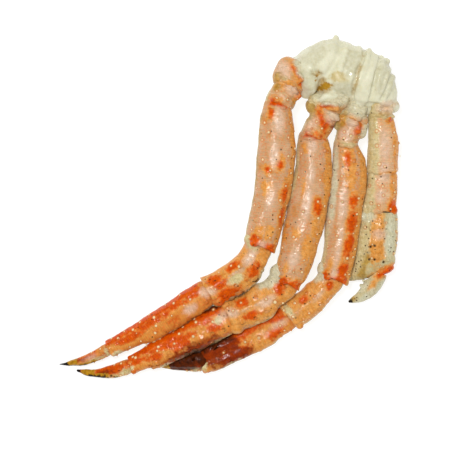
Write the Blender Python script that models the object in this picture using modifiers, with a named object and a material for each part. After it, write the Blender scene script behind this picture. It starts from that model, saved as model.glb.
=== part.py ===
"""A cooked king crab leg cluster: three walking legs and the claw arm, held by the piece of
shoulder that they grow from. It lies belly down. Each limb is a chain of shells that meet joint
plane to joint plane, and each limb lies a little over the next one. Lengths are in millimetres
and turned to metres where a cage is made, and the finished cluster stands on z = 0 with its
origin under the middle of its box."""

import bpy
import bmesh
from math import cos, pi, radians, sin
from mathutils import Matrix, Vector

MM = 0.001

# ---- clearances and the cage -------------------------------------------------------------------
JOINT_GAP = 0.4            # clear space between two shells at a joint
NEST_GAP = 0.5             # clear space where a shell sits against its larger neighbour
CAGE_SIDES = 8             # corners of each cage ring
CAGE_SWELL = 1.08          # a subdivided ring of eight corners draws in by this much
LEAST_FACING = 0.5         # a slanted end ring is stretched to at most 1 / this
SHELL_SQUARE = 0.9         # power of a shell's section: 1 is an oval, less is fuller
SHOULDER_SQUARE = 0.6

# ---- the limbs ---------------------------------------------------------------------------------
# Where the first shell starts (x, y, z), then for each shell its kind, length, heading in
# degrees, height of its far end, greatest width, thickness, and how far its middle bows aside.
LIMBS = {
    "leg_1": ((66.0, 147.5, 32.0), (
        ("coxa", 21.5, -101.5, 34.0, 35.0, 31.0, 0.0),
        ("ischium", 21.5, -118.5, 36.0, 34.0, 31.0, 0.0),
        ("merus", 148.5, -97.5, 36.0, 40.0, 34.0, 6.5),
        ("carpus", 71.0, -140.0, 28.0, 32.5, 29.0, 8.0),
        ("propodus", 122.0, -149.0, 12.5, 31.0, 24.0, 3.5),
        ("dactylus", 57.0, -162.0, 1.0, 15.0, 13.0, 4.5))),
    "leg_2": ((110.0, 122.0, 31.0), (
        ("coxa", 19.0, -109.5, 31.0, 31.0, 30.0, 0.0),
        ("ischium", 33.5, -118.0, 30.0, 31.5, 29.0, 0.0),
        ("merus", 156.0, -100.0, 30.0, 40.5, 33.0, 9.0),
        ("carpus", 69.5, -152.0, 24.5, 29.0, 25.0, 7.5),
        ("propodus", 117.5, -152.5, 13.5, 31.5, 21.5, 0.0),
        ("dactylus", 57.5, -173.5, 1.0, 16.5, 12.5, 4.5))),
    "leg_3": ((137.0, 111.0, 29.0), (
        ("coxa", 19.5, -112.5, 28.0, 25.0, 26.0, 0.0),
        ("ischium", 26.0, -105.0, 25.5, 28.0, 27.0, 0.0),
        ("merus", 143.0, -95.5, 23.0, 36.0, 30.0, 6.0),
        ("carpus", 60.5, -138.0, 16.5, 30.0, 25.0, 4.5),
        ("propodus", 105.5, -152.0, 9.5, 29.5, 19.0, 0.0),
        ("dactylus", 52.0, -179.0, 1.0, 14.0, 11.0, 1.5))),
    "claw_arm": ((162.5, 114.0, 27.0), (
        ("coxa", 18.0, -100.0, 25.0, 28.0, 27.0, 0.0),
        ("merus", 58.0, -87.5, 20.0, 34.5, 30.0, 2.5),
        ("carpus", 41.0, -91.5, 17.0, 33.5, 28.0, 0.0),
        ("palm", 66.0, -96.0, 15.0, 48.0, 32.0, 0.0))),
}

# Width of a shell along its length: (share of the length, share of the greatest width).
PROFILES = {
    "coxa": ((0.0, 0.94), (0.5, 1.0), (1.0, 0.92)),
    "ischium": ((0.0, 0.94), (0.45, 1.0), (1.0, 0.88)),
    "merus": ((0.0, 0.74), (0.09, 0.86), (0.3, 0.98), (0.6, 1.0), (0.87, 0.94), (0.95, 0.96),
              (1.0, 0.80)),
    "carpus": ((0.0, 0.82), (0.3, 0.84), (0.76, 1.0), (0.93, 1.04), (1.0, 0.92)),
    "propodus": ((0.0, 0.88), (0.15, 1.0), (0.4, 0.90), (0.65, 0.80), (0.9, 0.68), (1.0, 0.56)),
    "dactylus": ((0.0, 0.98), (0.3, 0.84), (0.65, 0.56), (0.9, 0.28), (1.0, 0.10)),
}
ARM_PROFILES = {
    "merus": ((0.0, 0.80), (0.35, 0.88), (0.7, 1.0), (1.0, 0.92)),
    "carpus": ((0.0, 0.94), (0.4, 1.0), (0.8, 1.0), (1.0, 0.86)),
}

# The palm runs on into the fixed finger: (x, y, z) of the middle, width, thickness. It starts
# at the wrist of the arm. The moving finger starts inside the palm, which is cut out of it.
PALM_START_SIZE = (33.0, 26.0)
PALM_PATH = (
    ((157.5, -21.0, 15.5), 42.5, 31.5),
    ((154.5, -47.0, 14.5), 47.5, 31.0),
    ((145.0, -61.0, 12.5), 35.0, 26.0),
    ((134.0, -68.0, 9.5), 18.0, 17.0),
    ((124.5, -73.5, 6.0), 6.0, 7.0))
FINGER_PATH = (
    ((158.0, -67.0, 14.0), 19.0, 19.0),
    ((153.0, -79.5, 13.0), 21.5, 19.0),
    ((144.5, -89.5, 10.0), 16.0, 15.0),
    ((134.5, -96.0, 7.0), 9.5, 9.0),
    ((126.5, -98.5, 5.0), 2.5, 2.5))

# ---- spines and lobes ------------------------------------------------------------------------------
SPINE_HEIGHT = 3.0
SPINE_ROOT = 3.5           # how far a spine's cone goes on under the surface
SPINE_RADIUS = 2.4         # at the surface
SPINE_SIDES = 5
SPINE_LEAN = 24.0          # degrees towards the claw
LOBE_RADIUS = 5.2

# Rows of spines along a shell: the angle round the section, where 0 is the limb's inner edge,
# 90 its crown and 180 its outer edge, the first and last share of the length, and how many.
SPINE_ROWS = {
    "ischium": ((100.0, 0.6, 0.6, 1),),
    "merus": ((126.0, 0.1, 0.94, 7), (66.0, 0.22, 0.94, 4), (102.0, 0.94, 0.94, 1)),
    "carpus": ((128.0, 0.24, 0.84, 4), (84.0, 0.4, 0.88, 2)),
    "propodus": ((134.0, 0.08, 0.86, 7), (92.0, 0.14, 0.7, 4)),
    "palm": ((128.0, 0.08, 0.42, 4), (98.0, 0.1, 0.44, 4), (66.0, 0.2, 0.4, 2)),
}
ARM_SPINE_ROWS = {
    "merus": ((128.0, 0.3, 0.9, 4), (92.0, 0.9, 0.9, 1)),
    "carpus": ((130.0, 0.25, 0.9, 4), (88.0, 0.3, 0.85, 3)),
}
# A blunt lobe beside the wrist: angle round the section and share of the length.
LOBES = {"leg_2_carpus": (172.0, 0.93), "leg_3_carpus": (178.0, 0.94)}

# ---- the shoulder --------------------------------------------------------------------------------
# A fan of four swollen lobes with grooves between them. Each upright section of it runs from
# the cut body side to the limb side: (body x, y), (limb x, y), height.
SHOULDER_SECTIONS = (
    ((74.0, 163.5), (58.0, 155.0), 24.0),
    ((92.0, 173.0), (68.0, 131.0), 50.0),
    ((109.0, 180.5), (84.0, 113.5), 56.0),
    ((118.0, 176.0), (95.0, 121.0), 49.0),
    ((126.0, 173.5), (110.0, 117.0), 57.0),
    ((137.5, 169.5), (125.0, 110.0), 50.0),
    ((147.0, 166.0), (135.5, 104.0), 56.0),
    ((157.0, 160.5), (149.0, 103.0), 49.0),
    ((166.0, 154.0), (164.0, 105.0), 53.0),
    ((176.5, 138.0), (179.5, 112.0), 36.0))
SHOULDER_SINK = 1.0        # the belly side is cut level this far up, to lie flat

TABLE_SIZE = 800.0         # the block under z = 0 that cuts the flat spots
TABLE_DEPTH = 40.0

SHELL_ROUGHNESS = 0.32
COLOURS = {
    "shoulder": (0.68, 0.63, 0.46),
    "coxa": (0.66, 0.42, 0.25),
    "ischium": (0.66, 0.42, 0.25),
    "merus": (0.66, 0.40, 0.23),
    "carpus": (0.62, 0.30, 0.11),
    "propodus": (0.58, 0.16, 0.03),
    "dactylus": (0.52, 0.13, 0.03),
    "palm": (0.55, 0.46, 0.26),
    "finger": (0.56, 0.42, 0.20),
}


def clear_scene():
    for item in list(bpy.data.objects):
        bpy.data.objects.remove(item, do_unlink=True)


def new_collection(name):
    collection = bpy.data.collections.new(name)
    bpy.context.scene.collection.children.link(collection)
    return collection


def shell_material(name, kind):
    """Cooked shell: wet and smooth, in the colour of its kind."""
    material = bpy.data.materials.new(name)
    material.use_nodes = True
    shader = material.node_tree.nodes["Principled BSDF"]
    shader.inputs["Base Color"].default_value = (*COLOURS[kind], 1.0)
    shader.inputs["Roughness"].default_value = SHELL_ROUGHNESS
    shader.inputs["Metallic"].default_value = 0.0
    return material


def signed_power(value, power):
    return abs(value) ** power if value >= 0 else -abs(value) ** power


def ring(middle, side, up, width, height, square):
    """Corners of one cage ring: an oval of that width along side and height along up."""
    corners = []
    for index in range(CAGE_SIDES):
        angle = 2 * pi * index / CAGE_SIDES
        across = signed_power(cos(angle), square) * width / 2 * CAGE_SWELL
        rise = signed_power(sin(angle), square) * height / 2 * CAGE_SWELL
        corners.append(middle + side * across + up * rise)
    return corners


def lerp_section(sections, share):
    """The section at that share of a shell's length: (share, middle, side, up, width, thick)."""
    for near, far in zip(sections, sections[1:]):
        if share <= far[0]:
            part = (share - near[0]) / (far[0] - near[0])
            return tuple(a + (b - a) * part for a, b in zip(near, far))
    return sections[-1]


def surface_point(sections, share, angle):
    """The point of a shell's surface at that share and angle, and the way it faces there."""
    _, middle, side, up, width, thick = lerp_section(sections, share)
    across, rise = cos(radians(angle)), sin(radians(angle))
    point = middle + side * across * width / 2 + up * rise * thick / 2
    facing = side * across / width + up * rise / thick
    return point, facing.normalized()


def loft(name, sections, kind, cluster, square=SHELL_SQUARE, sharp_ends=True):
    """A closed cage through the sections, rounded by one level of subdivision."""
    rings = [ring(*section[1:], square) for section in sections]
    cage = bmesh.new()
    crease = cage.edges.layers.float.new("crease_edge")
    rows = [[cage.verts.new(corner * MM) for corner in corners] for corners in rings]
    for near, far in zip(rows, rows[1:]):
        for index in range(CAGE_SIDES):
            after = (index + 1) % CAGE_SIDES
            cage.faces.new((near[index], near[after], far[after], far[index]))
    for row in (rows[0], rows[-1]):
        cap = cage.faces.new(row)
        if sharp_ends:
            for edge in cap.edges:
                edge[crease] = 1.0
    bmesh.ops.recalc_face_normals(cage, faces=cage.faces[:])
    mesh = bpy.data.meshes.new(name)
    cage.to_mesh(mesh)
    cage.free()
    mesh.shade_smooth()
    mesh.materials.append(shell_material(name + "_finish", kind))
    shell = bpy.data.objects.new(name, mesh)
    cluster.objects.link(shell)
    rounding = shell.modifiers.new("Rounding", "SUBSURF")
    rounding.levels = 1
    rounding.render_levels = 1
    return shell


def heading_vector(heading):
    return Vector((cos(radians(heading)), sin(radians(heading)), 0.0))


def limb_joints(limb):
    """Where each joint of a limb is."""
    start, shells = LIMBS[limb]
    joints = [Vector(start)]
    for _, length, heading, far_height, _, _, _ in shells:
        far = joints[-1] + heading_vector(heading) * length
        far.z = far_height
        joints.append(far)
    return joints


def joint_normals(joints):
    """The way each joint's plane faces: midway between the shells that meet there."""
    runs = [(far - near).normalized() for near, far in zip(joints, joints[1:])]
    between = [(one + two).normalized() for one, two in zip(runs, runs[1:])]
    return [runs[0], *between, runs[-1]]


def axes_across(normal):
    """The level axis and the upward axis of the plane that faces along normal."""
    side = normal.cross(Vector((0, 0, 1))).normalized()
    return side, side.cross(normal)


def straight_sections(joints, normals, size, profile):
    """Sections from joint to joint: the end ones in the joint planes, the rest square to the run."""
    width, thick, bow = size
    run = (joints[1] - joints[0]).normalized()
    start = joints[0] + normals[0] * JOINT_GAP / 2
    end = joints[1] - normals[1] * JOINT_GAP / 2
    aside = Vector((0, 0, 1)).cross(run).normalized()
    sections = []
    for share, swell in profile:
        middle = start.lerp(end, share) + aside * bow * 4 * share * (1 - share)
        normal = {0.0: normals[0], 1.0: normals[1]}.get(share, run)
        slant = 1 / max(normal.dot(run), LEAST_FACING)
        sections.append((share, middle, *axes_across(normal), width * swell * slant, thick * swell))
    return sections


def curved_sections(path, first_normal=None):
    """Sections along a bent path of (middle, width, thickness)."""
    middles = [Vector(middle) for middle, _, _ in path]
    sections = []
    for index, (_, width, thick) in enumerate(path):
        near = middles[max(index - 1, 0)]
        far = middles[min(index + 1, len(middles) - 1)]
        normal = (far - near).normalized()
        if index == 0 and first_normal is not None:
            normal = first_normal
        share = index / (len(path) - 1)
        sections.append((share, middles[index], *axes_across(normal), width, thick))
    return sections


def add_spine(spines, point, facing, forward):
    """One spine: a cone from under the surface, leaning towards the claw."""
    lean = facing * cos(radians(SPINE_LEAN)) + forward * sin(radians(SPINE_LEAN))
    middle = point + lean * (SPINE_HEIGHT - SPINE_ROOT) / 2
    turn = Vector((0, 0, 1)).rotation_difference(lean).to_matrix().to_4x4()
    depth = SPINE_HEIGHT + SPINE_ROOT
    bmesh.ops.create_cone(spines, cap_ends=True, segments=SPINE_SIDES,
                          radius1=SPINE_RADIUS * depth / SPINE_HEIGHT * MM, radius2=0.0,
                          depth=depth * MM, matrix=Matrix.Translation(middle * MM) @ turn)


def add_reliefs(shell, sections, rows, lobe, cutters):
    """Joins the rows of spines, and the wrist's lobe where there is one, to the shell."""
    forward = (sections[-1][1] - sections[0][1]).normalized()
    reliefs = bmesh.new()
    for angle, first, last, count in rows:
        for index in range(count):
            share = first + (last - first) * index / max(count - 1, 1)
            add_spine(reliefs, *surface_point(sections, share, angle), forward)
    if lobe:
        point, facing = surface_point(sections, lobe[1], lobe[0])
        bmesh.ops.create_icosphere(reliefs, subdivisions=2, radius=LOBE_RADIUS * MM,
                                   matrix=Matrix.Translation((point - facing * LOBE_RADIUS / 2) * MM))
    mesh = bpy.data.meshes.new(shell.name + "_reliefs")
    reliefs.to_mesh(mesh)
    reliefs.free()
    union = shell.modifiers.new("Reliefs", "BOOLEAN")
    union.operation = "UNION"
    union.solver = "EXACT"
    union.object = as_cutter(bpy.data.objects.new(mesh.name, mesh), cutters)


def build_limb(limb, cluster, cutters):
    """The straight shells of a limb, by kind."""
    joints = limb_joints(limb)
    normals = joint_normals(joints)
    arm = limb == "claw_arm"
    profiles = PROFILES | ARM_PROFILES if arm else PROFILES
    rows = SPINE_ROWS | ARM_SPINE_ROWS if arm else SPINE_ROWS
    shells = {}
    for index, (kind, _, _, _, width, thick, bow) in enumerate(LIMBS[limb][1]):
        if kind not in profiles:
            continue
        name = limb + "_" + kind
        sections = straight_sections(joints[index:index + 2], normals[index:index + 2],
                                     (width, thick, bow), profiles[kind])
        shells[kind] = loft(name, sections, kind, cluster)
        if kind in rows:
            add_reliefs(shells[kind], sections, rows[kind], LOBES.get(name), cutters)
    return shells


def build_claw(cluster, cutters):
    """The palm with its fixed finger, from the arm's wrist on, and the moving finger."""
    joints = limb_joints("claw_arm")
    normal = joint_normals(joints)[-2]
    start = joints[-2] + normal * JOINT_GAP / 2
    sections = curved_sections(((start, *PALM_START_SIZE), *PALM_PATH), normal)
    palm = loft("claw_palm", sections, "palm", cluster)
    finger = loft("claw_finger", curved_sections(FINGER_PATH), "finger", cluster)
    cut(finger, room_around(palm, cutters), "Nest")
    add_reliefs(palm, sections, SPINE_ROWS["palm"], None, cutters)
    return palm


def build_shoulder(cluster):
    sections = []
    for index, (body, limb, height) in enumerate(SHOULDER_SECTIONS):
        middle_height = height / 2 - SHOULDER_SINK
        body_end = Vector((*body, middle_height))
        limb_end = Vector((*limb, middle_height))
        along = limb_end - body_end
        share = index / (len(SHOULDER_SECTIONS) - 1)
        sections.append((share, body_end.lerp(limb_end, 0.5), along.normalized(),
                         Vector((0, 0, 1)), along.length, height))
    return loft("shoulder", sections, "shoulder", cluster, SHOULDER_SQUARE, sharp_ends=False)


def as_cutter(cutter, cutters):
    cutter.hide_render = True
    cutter.display_type = "WIRE"
    cutters.objects.link(cutter)
    return cutter


def room_around(host, cutters):
    """A copy of the host shell, swollen by the clearance of a nested neighbour."""
    room = host.copy()
    room.data = host.data.copy()
    room.name = host.name + "_room"
    swell = room.modifiers.new("Room", "DISPLACE")
    swell.strength = NEST_GAP * MM
    swell.mid_level = 0.0
    return as_cutter(room, cutters)


def build_table(cutters):
    """The block under z = 0."""
    block = bmesh.new()
    bmesh.ops.create_cube(block, size=1.0)
    size = Vector((TABLE_SIZE, TABLE_SIZE, TABLE_DEPTH)) * MM
    bmesh.ops.scale(block, vec=size, verts=block.verts[:])
    bmesh.ops.translate(block, vec=(0, 0, -TABLE_DEPTH / 2 * MM), verts=block.verts[:])
    mesh = bpy.data.meshes.new("table")
    block.to_mesh(mesh)
    block.free()
    return as_cutter(bpy.data.objects.new("table", mesh), cutters)


def cut(shell, cutter, name):
    """Takes the cutter's space away from the shell."""
    difference = shell.modifiers.new(name, "BOOLEAN")
    difference.operation = "DIFFERENCE"
    difference.solver = "EXACT"
    difference.object = cutter


def centre_over_origin(cluster, cutters):
    """Hangs everything on one empty, moved so that the box's middle is over the origin."""
    hub = bpy.data.objects.new("cluster_frame", None)
    cluster.objects.link(hub)
    shells = [item for item in cluster.objects if item.type == "MESH"]
    for item in shells + list(cutters.objects):
        item.parent = hub
    depsgraph = bpy.context.evaluated_depsgraph_get()
    corners = [Vector(corner) for item in shells for corner in item.evaluated_get(depsgraph).bound_box]
    for axis in (0, 1):
        values = [corner[axis] for corner in corners]
        hub.location[axis] = -(min(values) + max(values)) / 2


clear_scene()
cluster = new_collection("king_crab_leg_cluster")
cutters = new_collection("cutters")
table = build_table(cutters)
shoulder = build_shoulder(cluster)
shoulder_room = room_around(shoulder, cutters)
cut(shoulder, table, "Flat belly")
for limb in LIMBS:
    cut(build_limb(limb, cluster, cutters)["coxa"], shoulder_room, "Nest")
cut(build_claw(cluster, cutters), table, "Flat underside")
centre_over_origin(cluster, cutters)
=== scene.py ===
"""The looks of a cooked king crab leg cluster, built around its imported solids: shells with rims,
spines and hinge knobs, the torn shoulder, and their wet, mottled finishes."""

import math
from types import SimpleNamespace

import bpy
import numpy as np
from mathutils import Matrix, Vector
from mathutils.bvhtree import BVHTree


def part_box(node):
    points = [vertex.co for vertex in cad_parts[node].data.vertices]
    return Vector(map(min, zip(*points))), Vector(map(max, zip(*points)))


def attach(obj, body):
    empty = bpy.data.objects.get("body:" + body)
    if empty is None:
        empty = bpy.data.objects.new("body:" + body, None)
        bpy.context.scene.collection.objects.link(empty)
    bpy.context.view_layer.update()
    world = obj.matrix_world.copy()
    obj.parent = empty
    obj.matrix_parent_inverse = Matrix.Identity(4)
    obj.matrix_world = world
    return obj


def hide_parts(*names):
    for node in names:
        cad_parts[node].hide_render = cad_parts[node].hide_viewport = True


MM = 0.001
UP = Vector((0, 0, 1))

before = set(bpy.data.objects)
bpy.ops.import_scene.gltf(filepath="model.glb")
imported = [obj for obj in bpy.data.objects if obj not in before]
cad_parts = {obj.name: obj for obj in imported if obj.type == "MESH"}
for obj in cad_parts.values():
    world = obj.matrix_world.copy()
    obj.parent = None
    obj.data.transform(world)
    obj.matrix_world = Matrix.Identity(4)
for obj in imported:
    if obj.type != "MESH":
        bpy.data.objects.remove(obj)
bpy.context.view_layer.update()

# ---- the cluster's pieces ------------------------------------------------------------------------
LEGS = ("leg_1", "leg_2", "leg_3")
LEG_KINDS = ("coxa", "ischium", "merus", "carpus", "propodus", "dactylus")
ARM_KINDS = ("coxa", "merus", "carpus")
LIMBS = {limb: LEG_KINDS for limb in LEGS} | {"claw_arm": ARM_KINDS}
SLOTS = {
    "coxa": "joint_shell", "ischium": "joint_shell", "merus": "leg_shell", "carpus": "leg_shell",
    "propodus": "outer_leg_shell", "dactylus": "dark_tipped_claw",
}

RING_SIDES = 16
FLATS_TRIED = 30            # flat faces of a solid among which its ends are looked for
REACH = 100 * MM            # further than any shell's surface from its axis
END_FADE = 16 * MM          # how far from a joint the tilt of its plane fades out
LEAST_HALF = 1.0 * MM       # no shell is drawn thinner than twice this
SHORT_SHELL = 30 * MM
LONG_MARGIN, SHORT_MARGIN, POINT_MARGIN = 6 * MM, 3 * MM, 0.3 * MM  # kept off a solid's ends
SAME_WAY, SAME_LEVEL = 0.9998, 0.05 * MM    # cosine and distance within which faces are one flat
RING_GAP = 2 * MM           # least distance from a ring near an end to the next one
LEAST_SLOPE = 0.01          # no ring is tilted by less
TABLE_GAP = 0.05 * MM       # how far pressed parts stay off the table
SKIN_VOXEL = 0.65 * MM
FLESH_VOXEL = 0.8 * MM

# Rings near a shell's ends: (mm from the joint, share of the width there), from inside the shell
# before it, or to inside the shell after it, where the distance is negative. A rim turns over its
# edge and goes down to the skin that closes it.
NEAR_ENDS = {
    "dome": ((-7.0, 0.30), (-6.4, 0.58), (-4.2, 0.82), (-0.5, 0.96), (4.0, 1.0)),
    "soft": ((-4.0, 0.80), (-2.0, 0.88), (0.0, 0.95), (1.8, 0.99), (4.5, 1.0)),
    "neck": ((-3.2, 0.80), (-1.2, 0.86), (0.8, 0.92), (2.8, 0.97), (5.5, 1.0)),
}
FAR_ENDS = {
    "soft": ((5.0, 1.0), (2.0, 0.995), (0.3, 0.96), (-1.6, 0.88), (-3.4, 0.72)),
    "rim": ((9.0, 1.0), (5.5, 1.015), (2.6, 1.045), (0.9, 1.04), (0.1, 0.99), (0.7, 0.93),
        (2.0, 0.87)),
}
SHELL_ENDS = {
    "coxa": ("dome", "soft"), "ischium": ("soft", "soft"), "merus": ("soft", "rim"),
    "carpus": ("neck", "rim"), "propodus": ("neck", "rim"), "dactylus": ("neck", None),
}
BODY_SHARES = (0.12, 0.24, 0.36, 0.48, 0.6, 0.72, 0.84)
POINT_SHARES = (0.14, 0.28, 0.42, 0.56, 0.7, 0.82, 0.91, 0.965, 0.995)

# Rows of spines: angle round the section, where 0 is the limb's inner edge, 90 its crown and 180
# its outer edge; first and last share of the length; how many; and size.
SPINE_ROWS = {
    "coxa": (),
    "ischium": ((100, 0.6, 0.6, 1, 0.9), (150, 0.3, 0.85, 3, 0.5), (60, 0.5, 0.8, 2, 0.45)),
    "merus": ((126, 0.1, 0.94, 7, 0.9), (66, 0.22, 0.94, 4, 0.85), (102, 0.94, 0.94, 1, 1.0),
        (155, 0.08, 0.95, 10, 0.55), (34, 0.1, 0.92, 6, 0.45), (205, 0.1, 0.9, 6, 0.6)),
    "carpus": ((128, 0.24, 0.84, 4, 1.0), (84, 0.4, 0.88, 2, 1.0), (160, 0.2, 0.95, 6, 0.7),
        (50, 0.5, 0.95, 3, 0.6), (210, 0.2, 0.8, 3, 0.6)),
    "propodus": ((134, 0.08, 0.86, 7, 0.85), (92, 0.14, 0.7, 4, 0.8), (166, 0.05, 0.95, 9, 0.7),
        (30, 0.1, 0.95, 7, 0.5), (62, 0.3, 0.9, 4, 0.45), (215, 0.1, 0.9, 7, 0.6)),
    "dactylus": ((150, 0.06, 0.3, 3, 0.5), (40, 0.1, 0.3, 2, 0.5)),
}
ARM_SPINE_ROWS = {
    "merus": ((128, 0.3, 0.9, 4, 0.9), (92, 0.9, 0.9, 1, 0.9), (162, 0.25, 0.95, 4, 0.6),
        (60, 0.2, 0.8, 3, 0.5)),
    "carpus": ((130, 0.25, 0.9, 4, 0.9), (88, 0.3, 0.85, 3, 0.8), (162, 0.15, 0.9, 3, 0.6),
        (40, 0.3, 0.8, 2, 0.5)),
}
# Folds on each kind of shell, and more on single shells: share and angle at one end, then at the
# other, then height and width in mm.
RIDGES = {
    "coxa": ((0.1, 150, 0.9, 110, 1.2, 2.5), (0.95, 20, 0.95, 160, 1.0, 2.0)),
    "ischium": ((0.08, 30, 0.12, 150, 1.2, 2.2), (0.3, 120, 0.9, 100, 0.8, 2.5),
        (0.95, 30, 0.95, 160, 0.8, 1.8)),
    "merus": ((0.015, 40, 0.015, 150, 0.9, 1.8), (0.06, 40, 0.06, 150, -0.6, 2.5),
        (0.08, 126, 0.95, 126, 0.6, 4.0), (0.1, 60, 0.95, 60, 0.5, 4.0),
        (0.94, 20, 0.94, 170, -0.7, 2.5)),
    "carpus": ((0.2, 128, 0.95, 128, 0.9, 3.5), (0.3, 80, 0.92, 80, 0.7, 3.5),
        (0.1, 60, 0.1, 150, -0.6, 2.5), (0.9, 20, 0.9, 170, -0.6, 2.5)),
    "propodus": ((0.05, 134, 0.95, 140, 0.8, 3.5), (0.05, 45, 0.95, 50, 0.7, 3.5),
        (0.1, 92, 0.8, 92, 0.4, 4.0), (0.96, 20, 0.96, 170, -0.5, 2.0)),
    "dactylus": ((0.05, 90, 0.7, 90, 0.5, 2.5), (0.05, 130, 0.6, 120, -0.5, 1.2)),
    "leg_1_coxa": ((-0.1, 0, 0.5, 0, 3.0, 10),),
    "leg_1_merus": ((0.12, 0, 0.4, 0, 2.6, 14), (0.3, 180, 0.6, 180, 1.4, 14)),
    "leg_2_merus": ((0.03, 180, 0.28, 180, 3.2, 13), (0.35, 0, 0.66, 0, 2.6, 13),
        (0.05, 0, 0.1, 0, 1.2, 8), (0.4, 180, 0.55, 180, 1.0, 10)),
    "leg_3_merus": ((0.12, 180, 0.32, 180, 5.4, 12), (0.3, 0, 0.6, 0, 2.0, 11),
        (0.5, 180, 0.96, 180, 1.6, 11)),
    "claw_arm_merus": ((0.3, 0, 1.0, 0, 1.8, 12),),
    "claw_arm_carpus": ((0.0, 0, 1.0, 0, 1.8, 12), (0.6, 0, 1.0, 0, 2.4, 9)),
    "leg_1_carpus": ((0.35, 180, 1.0, 180, 5.2, 10), (0.2, 180, 0.55, 180, 3.0, 9)),
    "leg_2_carpus": ((0.12, -4, 0.5, -4, 6.5, 8), (0.5, -4, 1.0, -4, 4.5, 8),
        (0.45, 180, 1.0, 180, 5.5, 9)),
    "leg_3_carpus": ((0.08, -4, 0.3, -4, 3.0, 8), (0.45, -4, 1.0, -4, 4.5, 8)),
    "leg_1_propodus": ((0.0, 180, 0.6, 180, 3.0, 9),),
    "leg_2_propodus": ((0.0, 180, 0.75, 180, 5.5, 10), (0.0, 0, 0.3, 0, 2.0, 8)),
    "leg_3_propodus": ((0.0, 0, 0.3, 0, 3.0, 8), (0.35, 0, 0.85, 0, 4.5, 9),
        (0.8, 0, 1.0, 0, 4.0, 8), (0.3, 180, 0.9, 180, 3.8, 10)),
    "leg_2_dactylus": ((0.3, 180, 0.85, 180, 1.4, 5), (0.8, 20, 0.98, 20, 0.8, 3)),
    "leg_3_dactylus": ((0.0, 0, 0.7, 0, 4.0, 6), (-0.1, 0, 0.5, 0, 4.5, 7)),
}
# Creases and crests that cross a shell, seen from above: path, height and width in mm.
CRESTS = {
    "leg_1_coxa": ((((67, 150), (72, 143), (81, 129)), 2.2, 1.8),
        (((50, 132), (60, 130)), -1.2, 1.6), (((64, 128), (76, 118)), -1.4, 1.8)),
    "leg_1_ischium": ((((66, 126), (75, 117)), 1.6, 1.8), (((52, 128), (64, 126)), -1.2, 1.5),
        (((60, 122), (70, 112)), -1.0, 1.2)),
    "leg_2_coxa": ((((91, 104), (103, 109), (113, 108)), 2.0, 1.7),
        (((90, 99), (104, 104), (115, 103)), 1.4, 1.4), (((78, 113), (88, 100)), 1.2, 1.5),
        (((86, 116), (90, 104)), -1.2, 1.6)),
    "leg_2_ischium": ((((92, 98), (96, 84)), 1.6, 2.0),
        (((99, 101), (108, 99), (114, 93)), 1.6, 1.6), (((84, 98), (88, 84)), -1.4, 1.8),
        (((100, 96), (106, 90)), -1.2, 1.5)),
    "leg_3_coxa": ((((128, 99), (138, 100), (142, 97)), 1.6, 1.6),
        (((121, 104), (119, 90)), -1.6, 1.6)),
    "leg_3_ischium": ((((122, 96), (130, 94), (141, 92)), 1.6, 1.6),
        (((118, 92), (124, 84)), -1.4, 1.6), (((134, 90), (137, 80)), 1.4, 2.0)),
    "claw_arm_coxa": ((((150, 102), (158, 97), (166, 101)), 1.8, 1.8),
        (((156, 106), (170, 103)), -2.0, 1.8), (((148, 96), (160, 92), (171, 98)), 1.2, 1.6)),
}
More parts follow.
